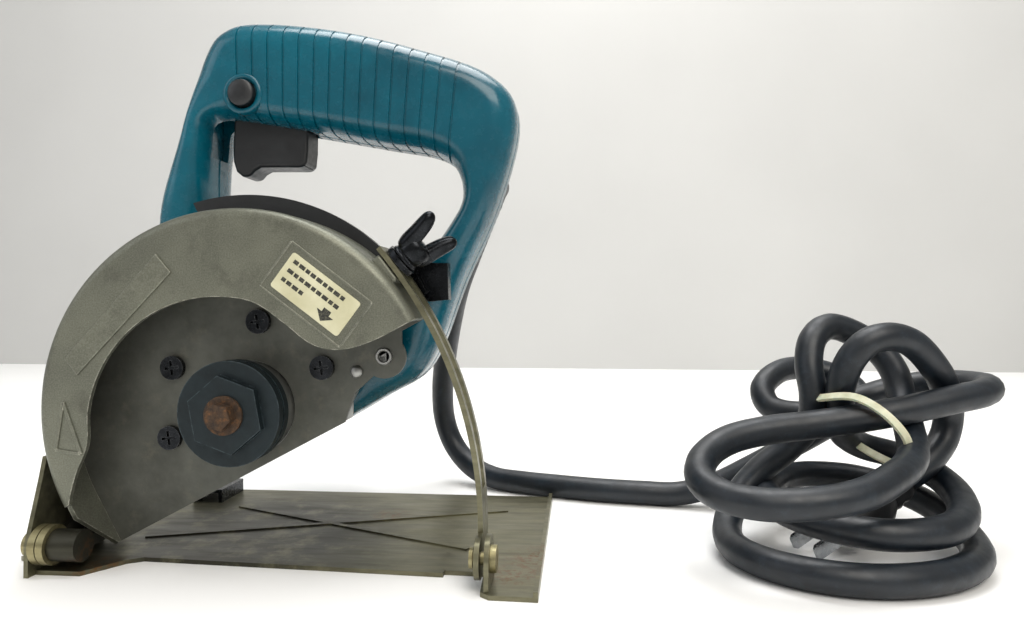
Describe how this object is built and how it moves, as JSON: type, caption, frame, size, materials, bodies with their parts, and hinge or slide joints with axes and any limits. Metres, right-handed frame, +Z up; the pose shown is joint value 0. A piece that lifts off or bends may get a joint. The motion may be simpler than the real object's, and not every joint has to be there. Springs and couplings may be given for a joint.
{
  "type": "corded hand-held circular trim saw",
  "caption": "Corded hand-held trim saw with a D-handle, open blade case with flanges, hinged tilting sole with arc depth guide, and a bundled mains lead.",
  "frame": {"origin": "middle of the sole, on its underside", "axes": "+X to the rear of the saw, +Y from the blade side to the motor side, +Z up"},
  "size_m": [0.376, 0.1579, 0.204],
  "materials": {
    "case_paint": "warm grey metallic satin paint",
    "gearcase": "die cast, bead blasted",
    "teal_housing": "glossy glass-filled nylon",
    "black_plastic": "fine matte",
    "black_steel": "black oxide",
    "flange_steel": "dark blue-grey phosphate",
    "bolt_steel": "machined, lightly rusted",
    "zinc_olive": "olive zinc plate",
    "zinc_brass": "yellow zinc plate",
    "bright_steel": "machined",
    "lamination": "stacked steel sheet",
    "winding": "enamelled copper wire",
    "brass_part": "stamped brass",
    "copper": "turned copper",
    "carbon": "pressed carbon",
    "cream_plastic": "natural nylon",
    "label_film": "printed film",
    "plate_foil": "brushed foil",
    "cord_rubber": "matte rubber sheath",
    "band_rubber": "natural rubber"
  },
  "bodies": {
    "head": {"blade_case": "case_paint", "case_wall": "case_paint", "case_backing_plate": "black_steel", "case_screws": "black_steel", "blank_label": "label_film", "gear_cover": "gearcase", "gear_housing": "gearcase", "case_stay": "black_steel", "handle_left": "teal_housing", "handle_right": "teal_housing", "handle_screws": "bright_steel", "motor_housing": "teal_housing", "motor_end_cover": "teal_housing", "end_cover_screws": "bright_steel", "stator_core": "lamination", "stator_windings": "winding", "fan_baffle": "black_plastic", "brush_holders": "brass_part", "carbon_brushes": "carbon", "brush_caps": "black_plastic", "spindle_bearings": "bright_steel", "armature_bearings": "bright_steel", "switch_body": "black_plastic", "cord_clamp": "black_plastic", "cord_guard": "black_plastic", "blank_nameplate": "plate_foil", "cord_lead": "cord_rubber", "cord_coil_low": "cord_rubber", "cord_coil_top": "cord_rubber", "rubber_band": "band_rubber", "plug": "black_plastic"},
    "armature": {"armature_shaft": "bright_steel", "armature_core": "lamination", "armature_windings": "winding", "commutator": "copper", "cooling_fan": "cream_plastic", "pinion": "bright_steel"},
    "blade_spindle": {"spindle": "bright_steel", "drive_gear": "bright_steel", "inner_flange": "flange_steel", "outer_flange": "flange_steel", "flange_bolt": "bolt_steel"},
    "bevel_carrier": {"bevel_bracket": "black_steel", "depth_pivot_pin": "bright_steel", "bevel_pivot_pin": "zinc_brass", "pivot_washers": "zinc_brass", "bevel_stud": "bright_steel"},
    "sole": {"base_plate": "zinc_olive", "fence_bridge": "black_steel", "rear_rivet": "zinc_brass"},
    "guide": {"depth_guide": "zinc_olive"},
    "bevel_nut": {"bevel_wing_nut": "black_steel", "bevel_nut_washer": "bright_steel"},
    "depth_bolt": {"depth_wing_bolt": "black_steel", "depth_bolt_washer": "black_steel"},
    "trigger": {"trigger": "black_plastic", "trigger_spring": "bright_steel"},
    "lock_button": {"lock_button": "black_plastic", "lock_button_spring": "bright_steel"}
  },
  "joints": [
    {"name": "armature_spin", "type": "hinge", "parent": "head", "child": "armature", "pos_m": [-0.01237, 0, 0.07556], "axis": [0, 1, 0], "continuous": true},
    {"name": "spindle_spin", "type": "hinge", "parent": "head", "child": "blade_spindle", "pos_m": [-0.01945, -0.04, 0.05642], "axis": [0, 1, 0], "continuous": true},
    {"name": "depth_tilt", "type": "hinge", "parent": "head", "child": "bevel_carrier", "pos_m": [-0.08, -0.029, 0.018], "axis": [0, -1, 0], "range_deg": [0, 28]},
    {"name": "bevel_tilt", "type": "hinge", "parent": "bevel_carrier", "child": "sole", "pos_m": [-0.088, -0.0545, 0.01], "axis": [-1, 0, 0], "range_deg": [0, 45]},
    {"name": "guide_follow", "type": "hinge", "parent": "sole", "child": "guide", "pos_m": [0.0685, -0.0545, 0.01], "axis": [-1, 0, 0], "range_deg": [-45, 0]},
    {"name": "bevel_nut_turn", "type": "hinge", "parent": "bevel_carrier", "child": "bevel_nut", "pos_m": [-0.089, -0.02578, 0.01404], "axis": [-1, 0, 0], "range_deg": [0, 360]},
    {"name": "depth_bolt_turn", "type": "hinge", "parent": "head", "child": "depth_bolt", "pos_m": [0.03916, -0.043, 0.10911], "axis": [0.7944, 0, 0.6074], "range_deg": [0, 360]},
    {"name": "trigger_pull", "type": "slide", "parent": "head", "child": "trigger", "axis": [0.0349, 0, 0.9994], "range_m": [0, 0.004], "stiffness_N_per_m": 900, "springref_m": -0.004, "deforming": ["trigger_spring"]},
    {"name": "lock_push", "type": "slide", "parent": "head", "child": "lock_button", "axis": [0, 1, 0], "range_m": [0, 0.0025], "stiffness_N_per_m": 600, "springref_m": -0.003, "deforming": ["lock_button_spring"]}
  ],
  "couplings": [
    {"joint": "spindle_spin", "follows": "armature_spin", "ratio": -0.21429},
    {"joint": "guide_follow", "follows": "bevel_tilt", "ratio": -1}
  ]
}
